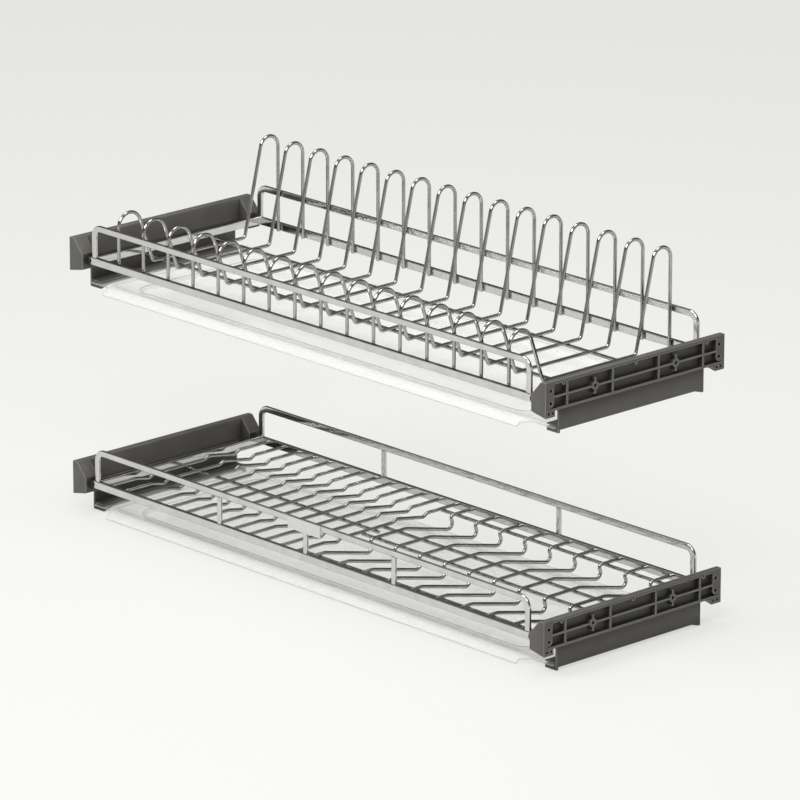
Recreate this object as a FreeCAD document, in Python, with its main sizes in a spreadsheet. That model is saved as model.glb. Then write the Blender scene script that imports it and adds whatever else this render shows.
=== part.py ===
import FreeCAD, Part
import math
import os

import Sketcher

# Cabinet dish rack with two tiers. Lengths are in mm and +Z is up.
# The origin lies on the ground under the middle of the rack, between the feet of the lower tray rails.
# X runs along the rack, from the left wall to the right wall, and Y runs from the front to the back.
# Heights called levels are measured from the underside of that tier's side brackets.

DRIVING_SIZES = [
    # the whole rack
    ("rackWidth", 864, "between the outer faces of the left and right brackets"),
    ("bracketLength", 300, "front to back, which is the depth of the rack"),
    ("tierPitch", 297, "from the lower tier's brackets up to the upper tier's"),
    # side bracket
    ("bracketHeight", 44, "underside to top"),
    ("bracketThickness", 24.5, "outer face to the inner face of an end block"),
    ("blockLength", 20, "solid end block, along Y"),
    ("topLand", 8, "flat top of a block, before its slope"),
    ("slopeFoot", 25.5, "level where the slope meets the inner face"),
    ("bracketEdge", 0.8, "edge radius of the block's long edges"),
    ("undersideRise", 5, "inner edge of the underside above the outer edge"),
    ("webInset", 6.7, "web behind the outer face"),
    ("webThickness", 2.5, "web of the bracket"),
    ("endFace", 14, "plain face at each end of the outer side"),
    ("rimHeight", 4, "top rim of the outer side"),
    ("shelfLevel", 7.5, "underside of the lower rim"),
    ("shelfThickness", 2.7, "lower rim"),
    ("ribLevel", 24.5, "middle of the long rib, the screws and their bosses"),
    ("ribThickness", 2.1, "long rib"),
    ("uprightThickness", 2.6, "upright ribs"),
    ("outerUpright", 114, "outer upright ribs from the middle"),
    ("innerUpright", 38.5, "inner upright ribs from the middle"),
    ("screwSpacing", 135.2, "between the two wall screws of a bracket"),
    ("screwHole", 4.8, "diameter"),
    ("screwHoleFloor", 1.2, "web left behind a screw hole"),
    ("screwBoss", 10.6, "diameter"),
    ("bossRibHeight", 20, "short upright rib through a boss"),
    ("bossRibThickness", 2, "short upright rib"),
    ("hookSpacing", 120, "between the three hooks under the top rim"),
    ("hookWidth", 5, "hook, with a round end"),
    ("hookCorner", 2.3, "corner radius of that end"),
    ("hookDrop", 3.6, "hook below the top rim"),
    ("hookWall", 1.4, "wall round a hook's groove"),
    ("endHole", 4.8, "diameter of the two holes in an end face"),
    ("endHoleDepth", 12, "blind"),
    ("endHoleInset", 9, "from the end of the bracket"),
    ("lowEndHole", 17.2, "level"),
    ("highEndHole", 32.6, "level"),
    ("faceGapInset", 2, "from the end of the bracket to the slot under its end face"),
    ("lugLength", 16, "lug under each end, along Y"),
    ("lugCorner", 3, "corner radius of the front lug"),
    ("lugRamp", 7, "run of the back lug's sloping corner"),
    ("lugRampFoot", 1.5, "level of the foot of that slope"),
    ("lugHole", 4, "diameter"),
    ("lugHoleDepth", 10, "blind"),
    ("lugHoleLevel", 4.5, "level"),
    ("lugHoleInset", 5.8, "from the end of the bracket to the first lug hole"),
    ("lugHoleSpacing", 6.8, "between the two lug holes"),
    # tray rail under a bracket
    ("railLength", 244, "along Y"),
    ("railPlate", 2.5, "thickness of the rail's plate"),
    ("lipReach", 20, "outer face of the plate to the edges of the lips"),
    ("lipThickness", 1.6, "each lip"),
    ("channelDepth", 17.2, "bracket's underside down to the underside of the upper lip"),
    ("channelGap", 2.6, "between the lips"),
    ("footHeight", 3.6, "foot below the lower lip"),
    ("footLength", 3, "foot, along Y"),
    ("footRamp", 12, "ramp of the back foot, along Y"),
    ("upstandThickness", 2.2, "strip behind the bracket's web"),
    ("upstandHeight", 6.5, "strip above the underside of the lower rim"),
    # frame of a tier
    ("barHeight", 10, "flattened bar"),
    ("barDepth", 6, "flattened bar"),
    ("barEdge", 1.1, "edge radius of the bars"),
    ("barLevel", 12.5, "underside of the bars"),
    ("barInset", 10, "middle of the front and rear bars from the ends of the brackets"),
    ("bushLength", 8, "between a bar's end and the bracket"),
    ("bushDiameter", 9, "bush on a pivot pin"),
    ("bushFlange", 13, "diameter of its flange, against the bracket"),
    ("bushFlangeThickness", 2.5, "flange"),
    ("pinDiameter", 5, "pivot pin"),
    ("pinDepth", 8, "pivot pin inside the bracket"),
    ("pinClearance", 0.05, "round a pin, in its bush and bracket"),
    # guards
    ("guardFace", 8.5, "flattened rod, seen from the front"),
    ("guardThickness", 4, "flattened rod, front to back"),
    ("guardEdge", 1.4, "edge radius of the flattened rod"),
    ("guardTop", 66, "level"),
    ("guardBend", 12, "bend radius of the rod's middle"),
    ("legInset", 5, "middle of a leg from the end of the bar"),
    ("postWidth", 7, "posts under the lower guards"),
    ("postEdge", 1.2, "edge radius of the posts"),
    ("postSpacing", 160, "between posts"),
    ("badgeWidth", 59, "plate on the lower front guard"),
    ("badgeHeight", 15.8, "plate"),
    ("badgeThickness", 1.2, "plate"),
    ("badgeCorner", 2, "corner radius of the plate"),
    ("badgeDrop", 0.7, "top of the plate below the top of the guard"),
    # wires of both tiers
    ("wireDiameter", 4.4, "all round wires and rods"),
    # plate dividers of the upper tier
    ("dividerCount", 16, "pieces"),
    ("dividerPitch", 47.2, "between dividers"),
    ("crossRodSpacing", 112, "between the two cross rods"),
    ("frontLoopTop", 85.5, "level of the wire's middle"),
    ("frontLoopRadius", 18.4, "to the wire's middle"),
    ("frontLegFoot", 78.6, "foot of the front leg, from the middle"),
    ("rearLoopTop", 141.5, "level of the wire's middle"),
    ("rearLoopRadius", 15.1, "to the wire's middle"),
    ("rearLegFoot", 77, "foot of the rear leg, from the middle"),
    ("dividerBend", 5, "bend radius at the feet of the legs"),
    # cup wires on the left of the lower tier
    ("gridLevel", 18.2, "middle of the lower tier's wires"),
    ("cupWireCount", 13, "pieces"),
    ("cupWirePitch", 29.7, "between cup wires"),
    ("cupWireInset", 13, "first cup wire from the side bar"),
    ("cupFrontFlat", 49, "from the front bar to the front dip"),
    ("cupFrontSlope", 22, "gentle side of the front dip"),
    ("cupRearFlat", 49, "from the rear bar to the rear dip"),
    ("cupRearSlope", 46, "gentle side of the rear dip"),
    ("cupStep", 7, "steep sides"),
    ("cupDip", 4.2, "depth of the dips"),
    ("cupPeak", 3.5, "height of the ridge before the rear dip"),
    ("cupBend", 7, "bend radius of the wires' middle"),
    # bowl wires on the right of the lower tier
    ("bowlWireCount", 9, "pieces"),
    ("bowlWirePitch", 44.25, "between bowl wires"),
    ("bowlWireInset", 35.5, "last bowl wire from the side bar"),
    ("bowlFrontFlat", 24, "from the front bar to the first slope"),
    ("bowlToothLength", 76, "from the start of a slope to the top of its steep side"),
    ("bowlToothPitch", 137.5, "between the two teeth"),
    ("bowlToothRun", 86.7, "from the start of a slope to the corner under it"),
    ("bowlToothDrop", 20.4, "from the wires' level down to that corner"),
    ("bowlStartBend", 12, "bend radius where a slope starts"),
    ("bowlFootBend", 7, "bend radius at the foot of a tooth"),
    ("bowlTopBend", 4, "bend radius at the top of a tooth"),
    ("bowlRodLead", 6, "first cross rod before the start of a tooth"),
    ("bowlRodSpacing", 100, "between the two cross rods of a tooth"),
    ("rodOverhang", 5.5, "cross rods past the last wire of the other zone"),
    # drip trays
    ("trayThickness", 1.8, "clear sheet"),
    ("trayLift", 0.3, "rim above the lower lip of its rail"),
    ("traySideGap", 1.5, "rim to the plate of its rail"),
    ("trayRearEdge", 130, "from the middle"),
    ("trayFrontEdge", 138, "from the middle"),
    ("trayEarEdge", 126, "front edge of the rim inside the rails"),
    ("trayFrontHalf", 377, "half the width of the front edge"),
    ("trayCorner", 9, "corner radius of the rim"),
    ("trayLipReach", 5, "front lip, forwards"),
    ("trayLipDrop", 3.9, "front lip, downwards"),
    ("shelfHalf", 390, "half the width of the sunk shelf"),
    ("shelfEdge", 115.5, "front and rear edges of the shelf from the middle"),
    ("shelfCorner", 10, "corner radius of the shelf"),
    ("shelfSink", 1.2, "shelf below the rim"),
    ("basinHalf", 357, "half the width of the basin"),
    ("basinEdge", 108, "front and rear edges of the basin from the middle"),
    ("basinCorner", 22, "corner radius of the basin"),
    ("basinSink", 5, "basin's floor below the rim"),
    ("basinDraft", 12, "degrees from upright of the basin's walls"),
]

doc = FreeCAD.newDocument("cabinet_dish_rack")
sheet = doc.addObject("Spreadsheet::Sheet", "Sizes")
for row, (alias, number, meaning) in enumerate(DRIVING_SIZES, start=1):
    sheet.set("A%d" % row, alias)
    sheet.set("B%d" % row, str(number))
    sheet.setAlias("B%d" % row, alias)
    sheet.set("C%d" % row, meaning)
doc.recompute()


class Size:
    """A length that holds its value and the spreadsheet expression that gives it."""

    def __init__(self, value, text):
        self.value = value
        self.text = text

    def joined(self, other, sign, value):
        return Size(value, "(%s %s %s)" % (self.text, sign, as_size(other).text))

    def __add__(self, other):
        return self.joined(other, "+", self.value + as_size(other).value)

    def __sub__(self, other):
        return self.joined(other, "-", self.value - as_size(other).value)

    def __mul__(self, other):
        return self.joined(other, "*", self.value * as_size(other).value)

    def __truediv__(self, other):
        return self.joined(other, "/", self.value / as_size(other).value)

    def __neg__(self):
        return as_size(0) - self


def as_size(number):
    """A plain number as a Size, and a Size as it is."""
    if isinstance(number, Size):
        return number
    return Size(float(number), repr(float(number)))


def size(alias):
    """The driving size with this alias."""
    return Size(float(sheet.get(alias)), "Sizes." + alias)


def bind(thing, place, length):
    """Ties a property or a sketch constraint to the spreadsheet."""
    thing.setExpression(place, as_size(length).text)


# Sketches


def new_body(name, x=0, y=0, z=0, turned=False):
    """A body at x, y, z, turned half round about its upright axis if asked."""
    body = doc.addObject("PartDesign::Body", name)
    corner = [as_size(x), as_size(y), as_size(z)]
    half_turn = FreeCAD.Rotation(FreeCAD.Vector(0, 0, 1), 180 if turned else 0)
    body.Placement = FreeCAD.Placement(FreeCAD.Vector(*[c.value for c in corner]), half_turn)
    for letter, length in zip("xyz", corner):
        bind(body, "Placement.Base." + letter, length)
    return body


def origin_feature(body, role):
    """One of the body's own origin planes or axes."""
    return [f for f in body.Origin.OriginFeatures if f.Role == role][0]


def new_sketch(body, name, plane, offset=0):
    """A sketch on one of the body's own planes, moved along the plane's normal by offset."""
    sketch = body.newObject("Sketcher::SketchObject", body.Label + "_" + name)
    sketch.AttachmentSupport = [(origin_feature(body, plane), "")]
    sketch.MapMode = "FlatFace"
    bind(sketch, "AttachmentOffset.Base.z", offset)
    return sketch


def dimension(sketch, kind, *where, length):
    """Adds a dimension that follows the spreadsheet."""
    length = as_size(length)
    index = sketch.addConstraint(Sketcher.Constraint(kind, *where, length.value))
    bind(sketch, "Constraints[%d]" % index, length)


def locate(sketch, geometry, point, u, v):
    """Fixes a point of the geometry at u, v from the sketch's origin."""
    dimension(sketch, "DistanceX", -1, 1, geometry, point, length=u)
    dimension(sketch, "DistanceY", -1, 1, geometry, point, length=v)


def flat(u, v):
    """A point of a sketch."""
    return FreeCAD.Vector(as_size(u).value, as_size(v).value, 0)


START, END, CENTRE = 1, 2, 3


def add_arc(sketch, centre, radius, first, last):
    """Adds the arc from first round to last, the short way, and says which end lies at first."""
    angles = [math.atan2(p.y - centre.y, p.x - centre.x) for p in (first, last)]
    left_turn = (angles[1] - angles[0]) % (2 * math.pi) < math.pi
    if not left_turn:
        angles.reverse()
    circle = Part.Circle(centre, FreeCAD.Vector(0, 0, 1), radius)
    arc = sketch.addGeometry(Part.ArcOfCircle(circle, angles[0], angles[1]))
    return arc, (START if left_turn else END)


def add_profile(sketch, corners, closed=True):
    """Adds lines through the corners. A corner is (u, v), or (u, v, radius) where it is rounded."""
    points = [flat(c[0], c[1]) for c in corners]
    count = len(points)
    arrive = list(points)
    leave = list(points)
    for i, corner in enumerate(corners):
        if len(corner) == 3:
            back = (points[i - 1] - points[i]).normalize()
            onward = (points[(i + 1) % count] - points[i]).normalize()
            run = as_size(corner[2]).value / math.tan(back.getAngle(onward) / 2)
            arrive[i] = points[i] + back * run
            leave[i] = points[i] + onward * run
    spans = count if closed else count - 1
    lines = [
        sketch.addGeometry(Part.LineSegment(leave[i], arrive[(i + 1) % count]))
        for i in range(spans)
    ]
    for i, corner in enumerate(corners):
        is_end = not closed and i in (0, count - 1)
        if is_end:
            line, point = (lines[0], START) if i == 0 else (lines[-1], END)
            locate(sketch, line, point, corner[0], corner[1])
        elif len(corner) == 2:
            sketch.addConstraint(Sketcher.Constraint("Coincident", lines[i - 1], END, lines[i], START))
            locate(sketch, lines[i], START, corner[0], corner[1])
        else:
            round_corner(sketch, lines[i - 1], lines[i], points[i], arrive[i], leave[i], corner)


def round_corner(sketch, before, after, point, arrive, leave, corner):
    """Joins two lines by a tangent arc, with the corner itself kept as a fixed point on both."""
    u, v, radius = corner
    inward = (arrive - point).normalize() + (leave - point).normalize()
    distance = math.hypot((arrive - point).Length, as_size(radius).value)
    centre = point + inward.normalize() * distance
    arc, at_arrive = add_arc(sketch, centre, as_size(radius).value, arrive, leave)
    at_leave = END if at_arrive == START else START
    sketch.addConstraint(Sketcher.Constraint("Tangent", before, END, arc, at_arrive))
    sketch.addConstraint(Sketcher.Constraint("Tangent", arc, at_leave, after, START))
    dimension(sketch, "Radius", arc, length=radius)
    apex = sketch.addGeometry(Part.Point(point), True)
    sketch.addConstraint(Sketcher.Constraint("PointOnObject", apex, START, before))
    sketch.addConstraint(Sketcher.Constraint("PointOnObject", apex, START, after))
    locate(sketch, apex, START, u, v)


def add_box(sketch, left, right, bottom, top, radius=None):
    """Adds a rectangle, with rounded corners if a radius is given."""
    corners = [(left, bottom), (right, bottom), (right, top), (left, top)]
    if radius is not None:
        corners = [corner + (radius,) for corner in corners]
    add_profile(sketch, corners)


def add_circle(sketch, u, v, diameter):
    """Adds a circle with its middle at u, v."""
    circle = Part.Circle(flat(u, v), FreeCAD.Vector(0, 0, 1), diameter.value / 2)
    geometry = sketch.addGeometry(circle)
    dimension(sketch, "Diameter", geometry, length=diameter)
    locate(sketch, geometry, CENTRE, u, v)


# Features


def pad(body, sketch, length, both_ways=False, backwards=False, other_way=None):
    """Pads a sketch along its normal, or equally both ways, or by other_way on the back."""
    feature = body.newObject("PartDesign::Pad", sketch.Label + "_pad")
    feature.Profile = sketch
    feature.Reversed = backwards
    if both_ways:
        feature.SideType = "Symmetric"
    if other_way is not None:
        feature.SideType = "Two sides"
        bind(feature, "Length2", other_way)
    bind(feature, "Length", length)
    return feature


def pocket(body, sketch, depth=None, backwards=False):
    """Cuts a sketch against its normal, to a depth or right through, and checks that it cuts."""
    doc.recompute()
    before = body.Shape.Volume
    feature = body.newObject("PartDesign::Pocket", sketch.Label + "_pocket")
    feature.Profile = sketch
    feature.Reversed = backwards
    if depth is None:
        feature.Type = "ThroughAll"
    else:
        bind(feature, "Length", depth)
    doc.recompute()
    if not body.Shape.Volume < before:
        raise RuntimeError(sketch.Label + " cuts nothing")
    return feature


def pipe(body, section, path, corner="Right corner"):
    """Sweeps a section along a path."""
    feature = body.newObject("PartDesign::AdditivePipe", path.Label + "_pipe")
    feature.Profile = section
    doc.recompute()
    edges = ["Edge%d" % (i + 1) for i in range(len(path.Shape.Edges))]
    feature.Spine = (path, edges)
    feature.Transition = corner
    return feature


def mirrored(body, features, plane):
    """Repeats features across one of the body's own planes."""
    doc.recompute()
    mirror = body.newObject("PartDesign::Mirrored", features[0].Label + "_mirrored")
    mirror.Originals = features
    mirror.MirrorPlane = (origin_feature(body, plane), [""])
    body.Tip = mirror
    return mirror


def in_a_row(body, feature, count, pitch):
    """Repeats a feature along +X."""
    doc.recompute()
    row_of = body.newObject("PartDesign::LinearPattern", feature.Label + "_row")
    row_of.Originals = [feature]
    row_of.Direction = (origin_feature(body, "X_Axis"), [""])
    bind(row_of, "Length", (count - 1) * pitch)
    bind(row_of, "Occurrences", count)
    body.Tip = row_of
    return row_of


# Sizes that several sub-parts share

half_width = size("rackWidth") / 2
half_length = size("bracketLength") / 2
web_back = size("webInset") + size("webThickness")
channel_floor = size("channelDepth") + size("channelGap")
foot_drop = channel_floor + size("lipThickness") + size("footHeight")
lower_lift = foot_drop
upper_lift = foot_drop + size("tierPitch")
bar_end = half_width - size("bracketThickness") - size("bushLength")
bar_middle = half_length - size("barInset")
bar_inner = bar_middle - size("barDepth") / 2
bar_top = size("barLevel") + size("barHeight")
pin_level = size("barLevel") + size("barHeight") / 2
side_bar_inner = bar_end - size("barDepth")
wire = size("wireDiameter")
rail_inner = half_width - size("webInset") - size("railPlate")


# Side brackets and tray rails
# Each is one moulding for both sides. In its own frame the outer face is at x = 0 and the wall is at +X,
# so it is placed as it is on the right and turned half round on the left.


def bracket_outer_cells(body):
    """The sunk cells between the ribs of the outer side, down to the web."""
    floor = size("shelfLevel") + size("shelfThickness")
    ceiling = size("bracketHeight") - size("rimHeight")
    half_rib = size("ribThickness") / 2
    half_upright = size("uprightThickness") / 2
    face = half_length - size("endFace")
    slot_end = half_length - size("faceGapInset")
    ring = size("endFace") - size("endHoleInset")
    slot_top = size("lowEndHole") - ring
    rows = [(floor, size("ribLevel") - half_rib), (size("ribLevel") + half_rib, ceiling)]
    inner, outer = size("innerUpright"), size("outerUpright")
    columns = [
        (-outer + half_upright, -inner - half_upright),
        (-inner + half_upright, inner - half_upright),
        (inner + half_upright, outer - half_upright),
    ]
    sketch = new_sketch(body, "cells", "YZ_Plane")
    for left, right in columns:
        for low, high in rows:
            add_box(sketch, left, right, low, high)
    low, high = rows[0]
    for near, upright, end in (
        (-face, -outer - half_upright, -slot_end),
        (face, outer + half_upright, slot_end),
    ):
        add_box(sketch, near, upright, rows[1][0], rows[1][1])
        add_profile(sketch, [
            (upright, low), (end, low), (end, low + size("faceGapInset") / 2),
            (near, slot_top, ring), (near, high), (upright, high),
        ])
    pocket(body, sketch, size("webInset"))


def bracket_bosses(body):
    """Screw bosses with their short ribs, and the hooks under the top rim."""
    half_spacing = size("screwSpacing") / 2
    level = size("ribLevel")
    ribs = new_sketch(body, "boss_ribs", "YZ_Plane", -size("webInset"))
    bosses = new_sketch(body, "bosses", "YZ_Plane", -size("webInset"))
    holes = new_sketch(body, "screw_holes", "YZ_Plane")
    for place in (-half_spacing, half_spacing):
        half_rib = size("bossRibThickness") / 2
        half_height = size("bossRibHeight") / 2
        add_box(ribs, place - half_rib, place + half_rib, level - half_height, level + half_height)
        add_circle(bosses, place, level, size("screwBoss"))
        add_circle(holes, place, level, size("screwHole"))
    pad(body, ribs, size("webInset"))
    pad(body, bosses, size("webInset"))
    pocket(body, holes, web_back - size("screwHoleFloor"))
    rim = size("bracketHeight") - size("rimHeight")
    half_hook = size("hookWidth") / 2
    half_groove = half_hook - size("hookWall")
    tip = rim - size("hookDrop")
    hooks = new_sketch(body, "hooks", "YZ_Plane", -size("webInset"))
    grooves = new_sketch(body, "hook_grooves", "YZ_Plane")
    for place in (-size("hookSpacing"), as_size(0), size("hookSpacing")):
        add_profile(hooks, [
            (place - half_hook, rim), (place - half_hook, tip, size("hookCorner")),
            (place + half_hook, tip, size("hookCorner")), (place + half_hook, rim),
        ])
        add_box(
            grooves, place - half_groove, place + half_groove,
            tip + size("hookWall"), rim + size("hookWall"),
        )
    pad(body, hooks, size("webInset"))
    pocket(body, grooves, size("webInset") - size("hookWall"))


def bracket_holes(body):
    """Blind holes in the end faces and the lugs, and the bores for the pivot pins."""
    end_place = half_length - size("endHoleInset")
    faces = new_sketch(body, "end_holes", "YZ_Plane")
    for place in (-end_place, end_place):
        for level in (size("lowEndHole"), size("highEndHole")):
            add_circle(faces, place, level, size("endHole"))
    pocket(body, faces, size("endHoleDepth"))
    lugs = new_sketch(body, "lug_holes", "YZ_Plane")
    first = half_length - size("lugHoleInset")
    second = first - size("lugHoleSpacing")
    for place in (-first, -second, second, first):
        add_circle(lugs, place, size("lugHoleLevel"), size("lugHole"))
    pocket(body, lugs, size("lugHoleDepth"))
    bores = new_sketch(body, "pin_bores", "YZ_Plane", -size("bracketThickness"))
    for place in (-bar_middle, bar_middle):
        add_circle(bores, place, pin_level, size("pinDiameter") + size("pinClearance") * 2)
    pocket(body, bores, size("pinDepth"), backwards=True)


def make_bracket(name, x, lift, turned):
    """A side bracket: two sloping end blocks joined by a ribbed web."""
    body = new_body(name, x, 0, lift, turned)
    thick = size("bracketThickness")
    edge = size("bracketEdge")
    section = new_sketch(body, "section", "XZ_Plane")
    add_profile(section, [
        (0, 0), (0, size("bracketHeight"), edge), (-size("topLand"), size("bracketHeight"), edge),
        (-thick, size("slopeFoot"), edge), (-thick, size("undersideRise"), edge),
    ])
    pad(body, section, size("bracketLength"), both_ways=True)
    inner = new_sketch(body, "inner_space", "XY_Plane")
    reach = half_length - size("blockLength")
    add_box(inner, -thick * 2, -web_back, -reach, reach)
    pocket(body, inner, backwards=True)
    below = new_sketch(body, "below_lower_rim", "YZ_Plane")
    lug = half_length - size("lugLength")
    under = -size("shelfLevel")
    add_profile(below, [
        (-lug, under), (-lug, 0), (-lug, size("shelfLevel")), (lug - size("lugRamp"), size("shelfLevel")),
        (lug, size("lugRampFoot")), (lug, under),
    ])
    pocket(body, below)
    bracket_outer_cells(body)
    bracket_bosses(body)
    bracket_holes(body)


def make_tray_rail(name, x, lift, turned):
    """A tray rail: a plate under the bracket, with a channel between two lips and a foot at each end."""
    body = new_body(name, x, 0, lift, turned)
    outer = -size("webInset")
    inner = outer - size("railPlate")
    edge = outer - size("lipReach")
    behind = -web_back
    strip = behind - size("upstandThickness")
    top = size("shelfLevel")
    upper_under = -size("channelDepth")
    upper_top = upper_under + size("lipThickness")
    lower_top = -channel_floor
    lower_under = lower_top - size("lipThickness")
    section = new_sketch(body, "section", "XZ_Plane")
    add_profile(section, [
        (outer, top), (outer, lower_under), (edge, lower_under), (edge, lower_top), (inner, lower_top),
        (inner, upper_under), (edge, upper_under), (edge, upper_top), (inner, upper_top),
        (inner, top - size("upstandHeight")), (strip, top - size("upstandThickness")),
        (strip, top + size("upstandHeight")), (behind, top + size("upstandHeight")), (behind, top),
    ])
    pad(body, section, size("railLength"), both_ways=True)
    half = size("railLength") / 2
    feet = new_sketch(body, "feet", "YZ_Plane", outer)
    add_box(feet, -half, -half + size("footLength"), -foot_drop, lower_under)
    flat_end = half - size("footLength")
    add_profile(feet, [
        (half, lower_under), (flat_end - size("footRamp"), lower_under), (flat_end, -foot_drop),
        (half, -foot_drop),
    ])
    pad(body, feet, size("lipReach"), backwards=True)


# Frames


def make_bar(name, lift, along_x, place):
    """A flattened bar with rounded edges, along the rack or from front to back."""
    half_depth = size("barDepth") / 2
    if along_x:
        body = new_body(name, 0, place, lift)
        section = new_sketch(body, "section", "YZ_Plane")
        length = bar_end * 2
    else:
        body = new_body(name, place, 0, lift)
        section = new_sketch(body, "section", "XZ_Plane")
        length = bar_inner * 2
    add_box(section, -half_depth, half_depth, size("barLevel"), bar_top, size("barEdge"))
    pad(body, section, length, both_ways=True)


def make_pins(name, lift):
    """Four pivot pins, from the ends of the front and rear bars into the brackets."""
    body = new_body(name, 0, 0, lift)
    section = new_sketch(body, "section", "YZ_Plane", bar_end)
    for place in (-bar_middle, bar_middle):
        add_circle(section, place, pin_level, size("pinDiameter"))
    right = pad(body, section, size("bushLength") + size("pinDepth"))
    mirrored(body, [right], "YZ_Plane")


def make_bushes(name, lift):
    """Four bushes on the pivot pins, which fill the space between the frame and the brackets."""
    body = new_body(name, 0, 0, lift)
    block = bar_end + size("bushLength")
    sleeves = new_sketch(body, "sleeves", "YZ_Plane", bar_end)
    flanges = new_sketch(body, "flanges", "YZ_Plane", block)
    for sketch, diameter in ((sleeves, size("bushDiameter")), (flanges, size("bushFlange"))):
        for place in (-bar_middle, bar_middle):
            add_circle(sketch, place, pin_level, diameter)
            add_circle(sketch, place, pin_level, size("pinDiameter") + size("pinClearance") * 2)
    right = [
        pad(body, sleeves, size("bushLength")),
        pad(body, flanges, size("bushFlangeThickness"), backwards=True),
    ]
    mirrored(body, right, "YZ_Plane")


# Guards


def make_guard(name, lift, place):
    """A guard: one flattened rod, bent into a long low arch that stands on a bar."""
    body = new_body(name, 0, place, lift)
    leg = bar_end - size("legInset")
    half_face = size("guardFace") / 2
    half_thick = size("guardThickness") / 2
    section = new_sketch(body, "section", "XY_Plane", bar_top)
    add_box(section, -leg - half_face, -leg + half_face, -half_thick, half_thick, size("guardEdge"))
    path = new_sketch(body, "path", "XZ_Plane")
    rail = size("guardTop") - half_face
    add_profile(path, [
        (-leg, bar_top), (-leg, rail, size("guardBend")), (leg, rail, size("guardBend")), (leg, bar_top),
    ], closed=False)
    pipe(body, section, path)


def make_posts(name, lift, place, stations):
    """Upright posts between a bar and the guard above it."""
    body = new_body(name, 0, place, lift)
    half_width_of_post = size("postWidth") / 2
    half_thick = size("guardThickness") / 2
    section = new_sketch(body, "section", "XY_Plane", bar_top)
    for x in stations:
        left, right = x - half_width_of_post, x + half_width_of_post
        add_box(section, left, right, -half_thick, half_thick, size("postEdge"))
    pad(body, section, size("guardTop") - size("guardFace") - bar_top)


def make_badge_plate(name, lift):
    """A bare plate on the front of the lower front guard."""
    body = new_body(name, 0, -bar_middle - size("guardThickness") / 2, lift)
    half = size("badgeWidth") / 2
    top = size("guardTop") - size("badgeDrop")
    section = new_sketch(body, "section", "XZ_Plane")
    add_box(section, -half, half, top - size("badgeHeight"), top, size("badgeCorner"))
    pad(body, section, size("badgeThickness"))


# Wires


def make_rods(name, lift, level, stations, left, right):
    """Round rods along X, from left to right, at the stations in Y."""
    body = new_body(name, 0, 0, lift)
    section = new_sketch(body, "section", "YZ_Plane")
    for y in stations:
        add_circle(section, y, level, wire)
    pad(body, section, right, other_way=-left)


def tangent_from(outside, centre, radius, side):
    """Where the line from a point outside a circle touches it, on the left (1) or right (-1)."""
    across = centre - outside
    angle = math.atan2(across.y, across.x) + side * math.asin(radius / across.Length)
    run = math.sqrt(across.Length ** 2 - radius ** 2)
    return outside + FreeCAD.Vector(math.cos(angle), math.sin(angle), 0) * run


def divider_path(body, base_level):
    """The middle of a divider's wire: up the front bar, over a loop, down, along, up, over, down."""
    path = new_sketch(body, "path", "YZ_Plane")
    front = -bar_inner + wire / 2
    rear = bar_inner - wire / 2
    front_radius, rear_radius = size("frontLoopRadius"), size("rearLoopRadius")
    front_level = size("frontLoopTop") - front_radius
    rear_level = size("rearLoopTop") - rear_radius
    front_foot = flat(-size("frontLegFoot"), base_level)
    rear_foot = flat(size("rearLegFoot"), base_level)
    front_centre = flat(front + front_radius, front_level)
    rear_centre = flat(rear - rear_radius, rear_level)
    front_touch = tangent_from(front_foot, front_centre, front_radius.value, -1)
    rear_touch = tangent_from(rear_foot, rear_centre, rear_radius.value, 1)
    bend = size("dividerBend")

    def foot(point, back, onward):
        back, onward = (back - point).normalize(), (onward - point).normalize()
        run = bend.value / math.tan(back.getAngle(onward) / 2)
        middle = (back + onward).normalize() * math.hypot(run, bend.value)
        return point + back * run, point + onward * run, point + middle

    f_arrive, f_leave, f_centre = foot(front_foot, front_touch, rear_foot)
    r_arrive, r_leave, r_centre = foot(rear_foot, front_foot, rear_touch)
    up_front = path.addGeometry(Part.LineSegment(flat(front, size("barLevel")), flat(front, front_level)))
    front_loop, _ = add_arc(path, front_centre, front_radius.value, flat(front, front_level), front_touch)
    front_leg = path.addGeometry(Part.LineSegment(front_touch, f_arrive))
    front_bend, _ = add_arc(path, f_centre, bend.value, f_arrive, f_leave)
    base = path.addGeometry(Part.LineSegment(f_leave, r_arrive))
    rear_bend, _ = add_arc(path, r_centre, bend.value, r_arrive, r_leave)
    rear_leg = path.addGeometry(Part.LineSegment(r_leave, rear_touch))
    rear_loop, _ = add_arc(path, rear_centre, rear_radius.value, rear_touch, flat(rear, rear_level))
    down_rear = path.addGeometry(Part.LineSegment(flat(rear, rear_level), flat(rear, size("barLevel"))))

    joints = [
        (up_front, END, front_loop, END), (front_loop, START, front_leg, START),
        (front_leg, END, front_bend, START), (front_bend, END, base, START),
        (base, END, rear_bend, START), (rear_bend, END, rear_leg, START),
        (rear_leg, END, rear_loop, END), (rear_loop, START, down_rear, START),
    ]
    for joint in joints:
        path.addConstraint(Sketcher.Constraint("Tangent", *joint))
    locate(path, up_front, START, front, size("barLevel"))
    locate(path, down_rear, END, rear, size("barLevel"))
    locate(path, front_loop, CENTRE, front + front_radius, front_level)
    locate(path, rear_loop, CENTRE, rear - rear_radius, rear_level)
    dimension(path, "Radius", front_loop, length=front_radius)
    dimension(path, "Radius", rear_loop, length=rear_radius)
    for arc, before, after, y in (
        (front_bend, front_leg, base, -size("frontLegFoot")),
        (rear_bend, base, rear_leg, size("rearLegFoot")),
    ):
        dimension(path, "Radius", arc, length=bend)
        apex = path.addGeometry(Part.Point(flat(y, base_level)), True)
        path.addConstraint(Sketcher.Constraint("PointOnObject", apex, START, before))
        path.addConstraint(Sketcher.Constraint("PointOnObject", apex, START, after))
        locate(path, apex, START, y, base_level)
    return path


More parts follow.
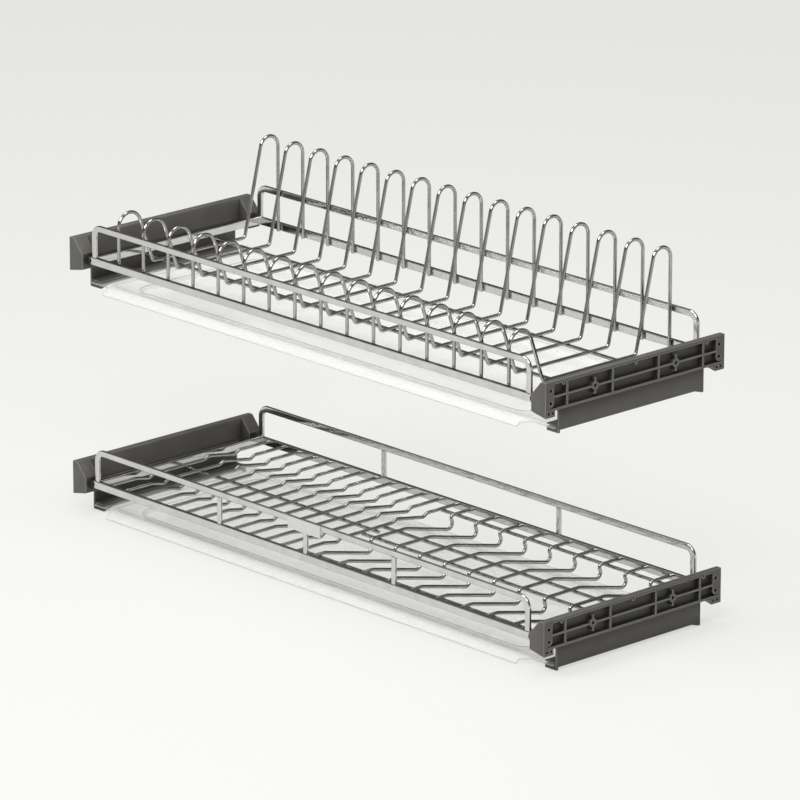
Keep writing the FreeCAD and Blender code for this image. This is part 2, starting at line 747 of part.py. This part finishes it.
def make_divider(name, lift, x):
    """A plate divider: one wire with a low loop at the front and a high loop at the rear."""
    body = new_body(name, x, 0, lift)
    base_level = size("barLevel") + wire / 2
    section = new_sketch(body, "section", "XY_Plane", size("barLevel"))
    add_circle(section, 0, -bar_inner + wire / 2, wire)
    pipe(body, section, divider_path(body, base_level))


def make_wire_row(name, lift, first_x, count, pitch, corners):
    """Equal wires side by side, from the front bar to the rear bar, through the same corners."""
    body = new_body(name, first_x, 0, lift)
    section = new_sketch(body, "section", "XZ_Plane", bar_inner)
    add_circle(section, 0, corners[0][1], wire)
    path = new_sketch(body, "path", "YZ_Plane")
    add_profile(path, corners, closed=False)
    in_a_row(body, pipe(body, section, path), count, pitch)


def cup_wire_corners():
    """Level, a shallow dip near the front, and a ridge with a longer dip near the rear."""
    level, step, bend = size("gridLevel"), size("cupStep"), size("cupBend")
    front_dip = -bar_inner + size("cupFrontFlat")
    front_low = front_dip + size("cupFrontSlope")
    rear_dip = bar_inner - size("cupRearFlat")
    rear_low = rear_dip - step
    ridge = rear_low - size("cupRearSlope")
    bends = [
        (front_dip, level), (front_low, level - size("cupDip")), (front_low + step, level),
        (ridge - step, level), (ridge, level + size("cupPeak")),
        (rear_low, level - size("cupDip")), (rear_dip, level),
    ]
    return [(-bar_inner, level)] + [point + (bend,) for point in bends] + [(bar_inner, level)]


def bowl_wire_corners():
    """Level, with two teeth that slope down to the rear and come up steeply."""
    level = size("gridLevel")
    corners = [(-bar_inner, level)]
    for tooth in range(2):
        start = -bar_inner + size("bowlFrontFlat") + size("bowlToothPitch") * tooth
        corners += [
            (start, level, size("bowlStartBend")),
            (start + size("bowlToothRun"), level - size("bowlToothDrop"), size("bowlFootBend")),
            (start + size("bowlToothLength"), level, size("bowlTopBend")),
        ]
    return corners + [(bar_inner, level)]


# Drip trays


def make_tray(name, lift):
    """A thin clear tray: a flat rim, a sunk shelf, a deeper basin and a turned-down front lip."""
    body = new_body(name, 0, 0, lift)
    thick = size("trayThickness")
    under = -channel_floor + size("trayLift")
    top = under + thick
    half = rail_inner - size("traySideGap")
    corner = size("trayCorner")
    front, rear = -size("trayFrontEdge"), size("trayRearEdge")
    ear, middle = -size("trayEarEdge"), size("trayFrontHalf")
    rim = new_sketch(body, "rim", "XY_Plane", under)
    add_profile(rim, [
        (-half, ear), (-middle - corner, ear, corner), (-middle, front), (middle, front),
        (middle + corner, ear, corner), (half, ear), (half, rear, corner), (-half, rear, corner),
    ])
    pad(body, rim, thick)
    lip = new_sketch(body, "lip", "YZ_Plane")
    reach, drop = front - size("trayLipReach"), top - size("trayLipDrop")
    add_profile(lip, [
        (front, top), (reach, drop), (reach, drop - thick), (front + thick, under),
    ])
    pad(body, lip, middle * 2, both_ways=True)
    sunk(body, "shelf", top, size("shelfHalf"), size("shelfEdge"), size("shelfCorner"), size("shelfSink"))
    sunk(body, "basin", top, size("basinHalf"), size("basinEdge"), size("basinCorner"), size("basinSink"))


def sunk(body, name, top, half, edge, corner, sink):
    """Sinks a rounded rectangle of the tray's sheet by an equal wall all round."""
    thick = size("trayThickness")
    outer = new_sketch(body, name + "_outer", "XY_Plane", top)
    add_box(outer, -half - thick, half + thick, -edge - thick, edge + thick, corner + thick)
    block = pad(body, outer, sink + thick, backwards=True)
    inner = new_sketch(body, name + "_inner", "XY_Plane", top)
    add_box(inner, -half, half, -edge, edge, corner)
    hollow = pocket(body, inner, sink)
    for feature in (block, hollow):
        bind(feature, "TaperAngle", -size("basinDraft"))


def make_tier(tier, lift):
    """The brackets, tray rails, frame, pins, bushes, guards and tray that both tiers have."""
    for side, x, turned in (("left", -half_width, True), ("right", half_width, False)):
        make_bracket("%s_%s_bracket" % (tier, side), x, lift, turned)
        make_tray_rail("%s_%s_tray_rail" % (tier, side), x, lift, turned)
        place = bar_end - size("barDepth") / 2
        make_bar("%s_%s_side_bar" % (tier, side), lift, False, -place if turned else place)
    for end, place in (("front", -bar_middle), ("rear", bar_middle)):
        make_bar("%s_%s_bar" % (tier, end), lift, True, place)
        make_guard("%s_%s_guard" % (tier, end), lift, place)
    make_pins(tier + "_pivot_pins", lift)
    make_bushes(tier + "_pin_bushes", lift)
    make_tray(tier + "_drip_tray", lift)


def make_upper_rack(lift):
    """The plate dividers on their two cross rods."""
    rod_level = size("barLevel") - wire / 2
    rod_end = bar_end - size("barDepth") / 2
    half_spacing = size("crossRodSpacing") / 2
    make_rods("upper_cross_rods", lift, rod_level, (-half_spacing, half_spacing), -rod_end, rod_end)
    count = int(size("dividerCount").value)
    for i in range(count):
        x = size("dividerPitch") * (i - (count - 1) / 2)
        make_divider("plate_divider_%02d" % (i + 1), lift, x)


def make_lower_rack(lift):
    """The posts, the badge plate, and the cup and bowl wires on their cross rods."""
    spacing = size("postSpacing")
    make_posts("lower_front_guard_posts", lift, -bar_middle, (-spacing, as_size(0), spacing))
    make_posts("lower_rear_guard_posts", lift, bar_middle, (-spacing, spacing))
    make_badge_plate("badge_plate", lift)
    cup_count, bowl_count = size("cupWireCount"), size("bowlWireCount")
    first_cup = -side_bar_inner + size("cupWireInset")
    last_cup = first_cup + (cup_count - 1) * size("cupWirePitch")
    last_bowl = side_bar_inner - size("bowlWireInset")
    first_bowl = last_bowl - (bowl_count - 1) * size("bowlWirePitch")
    make_wire_row("cup_wires", lift, first_cup, cup_count, size("cupWirePitch"), cup_wire_corners())
    make_wire_row("bowl_wires", lift, first_bowl, bowl_count, size("bowlWirePitch"), bowl_wire_corners())
    rod_level = size("gridLevel") - wire
    overhang = size("rodOverhang")
    make_rods("cup_cross_rod", lift, rod_level, (as_size(0),), -side_bar_inner, last_cup + overhang)
    first_rod = -bar_inner + size("bowlFrontFlat") - size("bowlRodLead")
    pair = (first_rod, first_rod + size("bowlRodSpacing"))
    stations = pair + tuple(rod + size("bowlToothPitch") for rod in pair)
    make_rods("bowl_cross_rods", lift, rod_level, stations, last_cup - overhang, side_bar_inner)


make_tier("upper", upper_lift)
make_tier("lower", lower_lift)
make_upper_rack(upper_lift)
make_lower_rack(lower_lift)
doc.recompute()

bodies = [o for o in doc.Objects if o.isDerivedFrom("PartDesign::Body")]
for item in doc.Objects:
    if "Invalid" in item.State or "Error" in item.State:
        raise RuntimeError("%s failed: %s" % (item.Label, item.State))
for body in bodies:
    if body.Shape.isNull() or not body.Shape.isValid():
        raise RuntimeError(body.Label + " has no valid shape")

os.makedirs("parts", exist_ok=True)
for body in bodies:
    body.Shape.exportStep("parts/%s.step" % body.Label)
print("%d sub-parts written" % len(bodies))
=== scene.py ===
"""Looks of the cabinet dish rack: two hanging tiers of polished wire between moulded side
brackets, with a clear drip tray under each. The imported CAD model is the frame; every length
here is in metres and every place is in the frame's axes (+X right, +Y back, +Z up)."""

import math

import bpy
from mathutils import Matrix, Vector

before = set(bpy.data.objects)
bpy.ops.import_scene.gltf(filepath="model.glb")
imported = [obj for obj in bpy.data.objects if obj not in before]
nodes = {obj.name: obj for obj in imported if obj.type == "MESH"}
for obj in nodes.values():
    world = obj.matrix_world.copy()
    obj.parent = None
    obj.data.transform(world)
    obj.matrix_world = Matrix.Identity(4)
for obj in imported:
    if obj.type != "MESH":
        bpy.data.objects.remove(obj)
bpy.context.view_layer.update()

# Rounding of sharp edges, by material
EDGE_RADIUS = {"bracket_plastic": 0.0004, "clear_plastic": 0.0003}
ROUNDED_CORNER = math.radians(40)
SHARP_CORNER = math.radians(32)
WELD_DISTANCE = 1e-6

# How far the painted shade in recesses, the painted highlights along the brackets' edges and the
# painted grey lines along the trays' edges reach
RECESS_SHADE_REACH = 0.025
EDGE_HIGHLIGHT_REACH = 0.0012
TRAY_EDGE_LINE_REACH = 0.0008

# Camera
AZIMUTH = math.radians(47.04)
ELEVATION = math.radians(17.253)
CAMERA_AIM = Vector((0.0051, 0.0140, 0.2142))
CAMERA_DISTANCE = 8.2384
FOCAL_LENGTH_MM = 298.71
SENSOR_WIDTH_MM = 36

# Light panels: name, place, width, height and watts, all turned to the middle of the rack
MIDDLE = (0, 0, 0.2)
PANELS = (
    ("key", (-0.7, -2.2, 3.0), 1.4, 1.4, 62),
    ("fill", (1.5, -1.9, 2.6), 1.6, 1.2, 50),
    ("top", (0.0, 0.3, 3.6), 2.0, 1.2, 40),
)

# Studio round the rack: from straight down (0) to straight up (1), and how bright it is there
STUDIO_LEVELS = ((0.0, 0.4), (0.49, 0.5), (0.5, 0.8), (0.55, 0.7), (0.6, 0.22), (0.8, 0.14),
                 (0.9, 0.5), (1.0, 1.3))
STUDIO_STRENGTH = 0.8

FLOOR_SIZE = 60
FLOOR_DROP = 0.0005
FLOOR_GLOW_SHARE = 0.7


# Materials of the pieces

def srgb(red, green, blue):
    """Linear colour of an 8-bit sRGB colour."""
    def linear(level):
        level /= 255
        return level / 12.92 if level <= 0.04045 else ((level + 0.055) / 1.055) ** 2.4
    return (linear(red), linear(green), linear(blue), 1)


class Finish:
    """A material with one Principled shader, and helpers that add texture nodes to it."""

    def __init__(self, name, colour, roughness, metallic=0.0):
        self.material = bpy.data.materials.new(name)
        self.material.use_nodes = True
        self.tree = self.material.node_tree
        self.shader = self.tree.nodes["Principled BSDF"]
        self.shader.inputs["Base Color"].default_value = colour
        self.shader.inputs["Roughness"].default_value = roughness
        self.shader.inputs["Metallic"].default_value = metallic
        self.place = self.add("ShaderNodeTexCoord").outputs["Object"]

    def add(self, kind, **settings):
        node = self.tree.nodes.new(kind)
        for name, value in settings.items():
            setattr(node, name, value)
        return node

    def link(self, source, target):
        self.tree.links.new(source, target)

    def drive(self, socket, output):
        """The output sets this socket of the shader."""
        self.link(output, self.shader.inputs[socket])

    def noise(self, scale, detail=3.0, stretch=(1, 1, 1)):
        """Value of a noise texture with features 1/scale metres across, stretched per axis."""
        mapping = self.add("ShaderNodeMapping")
        mapping.inputs["Scale"].default_value = stretch
        self.link(self.place, mapping.inputs["Vector"])
        texture = self.add("ShaderNodeTexNoise")
        texture.inputs["Scale"].default_value = scale
        texture.inputs["Detail"].default_value = detail
        self.link(mapping.outputs["Vector"], texture.inputs["Vector"])
        return texture.outputs["Fac"]

    def between(self, value, low, high, start=0.3, stop=0.7):
        """The value, which varies from start to stop, brought to the range low to high."""
        spread = self.add("ShaderNodeMapRange")
        for socket, number in zip(("From Min", "From Max", "To Min", "To Max"),
                                  (start, stop, low, high)):
            spread.inputs[socket].default_value = number
        self.link(value, spread.inputs["Value"])
        return spread.outputs["Result"]

    def blend(self, value, first, second):
        """Colour that goes from first to second with the value; each is a colour or an output."""
        mix = self.add("ShaderNodeMix", data_type="RGBA")
        for side, colour in (("A", first), ("B", second)):
            if isinstance(colour, tuple):
                mix.inputs[side].default_value = colour
            else:
                self.link(colour, mix.inputs[side])
        self.link(value, mix.inputs["Factor"])
        return mix.outputs["Result"]

    def hollows(self, reach):
        """1 in the open, and less in corners and recesses that are narrower than the reach."""
        hollow = self.add("ShaderNodeAmbientOcclusion", samples=8)
        hollow.inputs["Distance"].default_value = reach
        return hollow.outputs["AO"]

    def edges(self, reach):
        """1 at sharp outer edges, and 0 further from them than the reach."""
        edge = self.add("ShaderNodeAmbientOcclusion", samples=8, only_local=True, inside=True)
        edge.inputs["Distance"].default_value = reach
        return self.between(edge.outputs["AO"], 0, 1, 0.97, 0.72)

    def bump(self, height, depth):
        """Raises the surface by up to the depth where the height is 1."""
        bump = self.add("ShaderNodeBump")
        bump.inputs["Distance"].default_value = depth
        self.link(height, bump.inputs["Height"])
        self.drive("Normal", bump.outputs["Normal"])


def bracket_finish():
    """Moulded plastic, with painted shade in its recesses and painted highlights along its edges.
    """
    finish = Finish("moulded bracket", srgb(82, 80, 76), 0.5)
    grain = finish.noise(2600, 2)
    cloud = finish.noise(26, 4)
    open_faces = finish.blend(finish.between(cloud, 0, 1), srgb(77, 75, 71), srgb(88, 86, 81))
    # Painted shade: the colour darkens to a dark grey in corners and recesses
    painted_shade_mask = finish.between(finish.hollows(RECESS_SHADE_REACH), 0, 1, 0.35, 0.95)
    shaded = finish.blend(painted_shade_mask, srgb(43, 42, 40), open_faces)
    # Painted highlight: a lighter grey along the sharp outer edges
    edge = finish.edges(EDGE_HIGHLIGHT_REACH)
    finish.drive("Base Color", finish.blend(edge, shaded, srgb(126, 123, 117)))
    finish.drive("Roughness", finish.between(cloud, 0.44, 0.58))
    finish.bump(grain, 0.00012)
    return finish.material


def steel_finish(name, darkest, lightest, outline, smoothest, roughest):
    """Polished steel with faint smears and hairlines, a little darker towards its outline.
    Its greys run from darkest to lightest in 8-bit levels."""
    def warm_grey(level):
        return srgb(level, level - 1, level - 5)
    finish = Finish(name, warm_grey(darkest), smoothest, 1.0)
    finish.shader.inputs["Specular Tint"].default_value = (outline, outline, outline, 1)
    smear = finish.noise(60, 4)
    hairline = finish.noise(900, 2, (0.12, 0.12, 1.0))
    smeared = finish.between(smear, 0, 1)
    finish.drive("Base Color", finish.blend(smeared, warm_grey(darkest), warm_grey(lightest)))
    finish.drive("Roughness", finish.between(smear, smoothest, roughest))
    finish.bump(hairline, 0.00003)
    return finish.material


def badge_finish():
    """Steel brushed along the plate."""
    finish = Finish("brushed badge", srgb(222, 220, 215), 0.3, 1.0)
    brushing = finish.noise(1500, 2, (0.03, 1.0, 1.0))
    finish.drive("Roughness", finish.between(brushing, 0.24, 0.38))
    finish.bump(brushing, 0.00002)
    return finish.material


def bush_finish():
    """Matt black plastic."""
    finish = Finish("black bush", srgb(30, 29, 28), 0.55)
    grain = finish.noise(1800, 2)
    finish.drive("Roughness", finish.between(grain, 0.48, 0.62))
    finish.bump(grain, 0.00006)
    return finish.material


def tray_finish():
    """Clear plastic sheet that brightens what lies under it, with painted grey lines along its
    edges that stand in for the refraction there.
    """
    clear = srgb(246, 246, 245)
    finish = Finish("clear tray", clear, 0.08)
    finish.shader.inputs["IOR"].default_value = 1.7
    smear = finish.noise(18, 4)
    finish.drive("Roughness", finish.between(smear, 0.05, 0.12))
    # Painted shade: grey, more opaque lines along the sheet's edges stand in for the refraction
    # there
    edge = finish.edges(TRAY_EDGE_LINE_REACH)
    finish.drive("Base Color", finish.blend(edge, clear, srgb(128, 127, 124)))
    cover = finish.add("ShaderNodeMath", operation="MULTIPLY_ADD")
    cover.inputs[1].default_value = 0.35
    finish.link(edge, cover.inputs[0])
    finish.link(finish.between(smear, 0.26, 0.34), cover.inputs[2])
    finish.drive("Alpha", cover.outputs["Value"])
    return finish.material


FINISH_BY_SLOT = {
    "bracket_plastic": bracket_finish(),
    # The wire's greys are darker than the bars': painted shade, standing in for the dark
    # surroundings that the wires reflect
    "wire_steel": steel_finish("polished wire", 162, 186, 0.1, 0.04, 0.12),
    "bar_steel": steel_finish("polished bars", 202, 216, 0.3, 0.06, 0.16),
    "badge_steel": badge_finish(),
    "black_bush": bush_finish(),
    "clear_plastic": tray_finish(),
}


def slot_of(name):
    """Key of the finish that the piece with this name has."""
    if name.endswith(("bracket", "tray_rail")):
        return "bracket_plastic"
    if name.endswith("drip_tray"):
        return "clear_plastic"
    if name.endswith("pin_bushes"):
        return "black_bush"
    if name == "badge_plate":
        return "badge_steel"
    if name.endswith(("bar", "guard", "posts")):
        return "bar_steel"
    return "wire_steel"


def join_faces(piece):
    """Joins the corners of neighbouring faces, so that edges can be rounded and shaded over."""
    weld = piece.modifiers.new("joined faces", "WELD")
    weld.merge_threshold = WELD_DISTANCE


def round_edges(piece, radius):
    """Rounds the piece's sharp edges."""
    bevel = piece.modifiers.new("worn edges", "BEVEL")
    bevel.width = radius
    bevel.segments = 2
    bevel.limit_method = "ANGLE"
    bevel.angle_limit = ROUNDED_CORNER
    bevel.harden_normals = False


def smooth(piece):
    """Rounded faces shade smoothly, and sharp edges stay sharp."""
    for face in piece.data.polygons:
        face.use_smooth = True
    split = piece.modifiers.new("sharp edges", "EDGE_SPLIT")
    split.split_angle = SHARP_CORNER


for name, piece in nodes.items():
    slot = slot_of(name)
    piece.data.materials.clear()
    piece.data.materials.append(FINISH_BY_SLOT[slot])
    join_faces(piece)
    if slot in EDGE_RADIUS:
        round_edges(piece, EDGE_RADIUS[slot])
    smooth(piece)


# Floor, light and camera

def emission_where_seen(tree, lit, colour, share):
    """Mixes the lit shader with a plain glow for rays from the camera, gloss and glass."""
    glow = tree.nodes.new("ShaderNodeEmission")
    glow.inputs["Color"].default_value = colour
    glow.inputs["Strength"].default_value = 1.0
    path = tree.nodes.new("ShaderNodeLightPath")
    seen = path.outputs["Is Camera Ray"]
    for kind in ("Is Glossy Ray", "Is Transmission Ray"):
        either = tree.nodes.new("ShaderNodeMath")
        either.operation = "MAXIMUM"
        tree.links.new(seen, either.inputs[0])
        tree.links.new(path.outputs[kind], either.inputs[1])
        seen = either.outputs["Value"]
    amount = tree.nodes.new("ShaderNodeMath")
    amount.operation = "MULTIPLY"
    amount.inputs[1].default_value = share
    tree.links.new(seen, amount.inputs[0])
    mix = tree.nodes.new("ShaderNodeMixShader")
    tree.links.new(amount.outputs["Value"], mix.inputs["Fac"])
    tree.links.new(lit, mix.inputs[1])
    tree.links.new(glow.outputs["Emission"], mix.inputs[2])
    return mix.outputs["Shader"]


def make_floor():
    bpy.ops.mesh.primitive_plane_add(size=FLOOR_SIZE, location=(0, 0, -FLOOR_DROP))
    floor = bpy.context.object
    floor.name = "floor"
    material = bpy.data.materials.new("pale floor")
    material.use_nodes = True
    tree = material.node_tree
    tree.nodes.remove(tree.nodes["Principled BSDF"])
    paint = tree.nodes.new("ShaderNodeBsdfDiffuse")
    paint.inputs["Color"].default_value = srgb(228, 228, 227)
    seen = emission_where_seen(tree, paint.outputs["BSDF"], srgb(242, 242, 241),
                               FLOOR_GLOW_SHARE)
    tree.links.new(seen, tree.nodes["Material Output"].inputs["Surface"])
    floor.data.materials.append(material)


def make_world():
    """Studio walls that are dim at the sides and bright overhead."""
    world = bpy.data.worlds.new("studio")
    bpy.context.scene.world = world
    world.use_nodes = True
    tree = world.node_tree
    background = tree.nodes["Background"]
    direction = tree.nodes.new("ShaderNodeTexCoord").outputs["Generated"]
    parts = tree.nodes.new("ShaderNodeSeparateXYZ")
    tree.links.new(direction, parts.inputs["Vector"])
    ramp = tree.nodes.new("ShaderNodeValToRGB")
    elements = ramp.color_ramp.elements
    while len(elements) < len(STUDIO_LEVELS):
        elements.new(0.5)
    for element, (position, level) in zip(elements, STUDIO_LEVELS):
        element.position = position
        element.color = (level, level, level * 0.99, 1)
    height = tree.nodes.new("ShaderNodeMapRange")
    height.inputs["From Min"].default_value = -1
    height.inputs["From Max"].default_value = 1
    tree.links.new(parts.outputs["Z"], height.inputs["Value"])
    tree.links.new(height.outputs["Result"], ramp.inputs["Fac"])
    tree.links.new(ramp.outputs["Color"], background.inputs["Color"])
    background.inputs["Strength"].default_value = STUDIO_STRENGTH


def turn_to(thing, direction):
    """Turns a light or a camera to look along the direction."""
    thing.rotation_mode = "QUATERNION"
    thing.rotation_quaternion = direction.to_track_quat("-Z", "Y")


def add_panel(name, location, width, height, watts):
    light = bpy.data.lights.new(name, "AREA")
    light.shape = "RECTANGLE"
    light.size = width
    light.size_y = height
    light.energy = watts
    panel = bpy.data.objects.new(name, light)
    bpy.context.collection.objects.link(panel)
    panel.location = location
    turn_to(panel, Vector(MIDDLE) - Vector(location))


def make_camera():
    """Camera with a long lens, from the right and a little above."""
    back = Vector((math.sin(AZIMUTH) * math.cos(ELEVATION),
                   -math.cos(AZIMUTH) * math.cos(ELEVATION),
                   math.sin(ELEVATION)))
    data = bpy.data.cameras.new("long lens")
    data.sensor_width = SENSOR_WIDTH_MM
    data.lens = FOCAL_LENGTH_MM
    data.clip_start = 0.1
    data.clip_end = 200
    camera = bpy.data.objects.new("long lens", data)
    bpy.context.collection.objects.link(camera)
    camera.location = CAMERA_AIM + back * CAMERA_DISTANCE
    turn_to(camera, -back)
    bpy.context.scene.camera = camera


make_floor()
make_world()
for panel in PANELS:
    add_panel(*panel)
make_camera()
bpy.context.scene.view_settings.view_transform = "Standard"
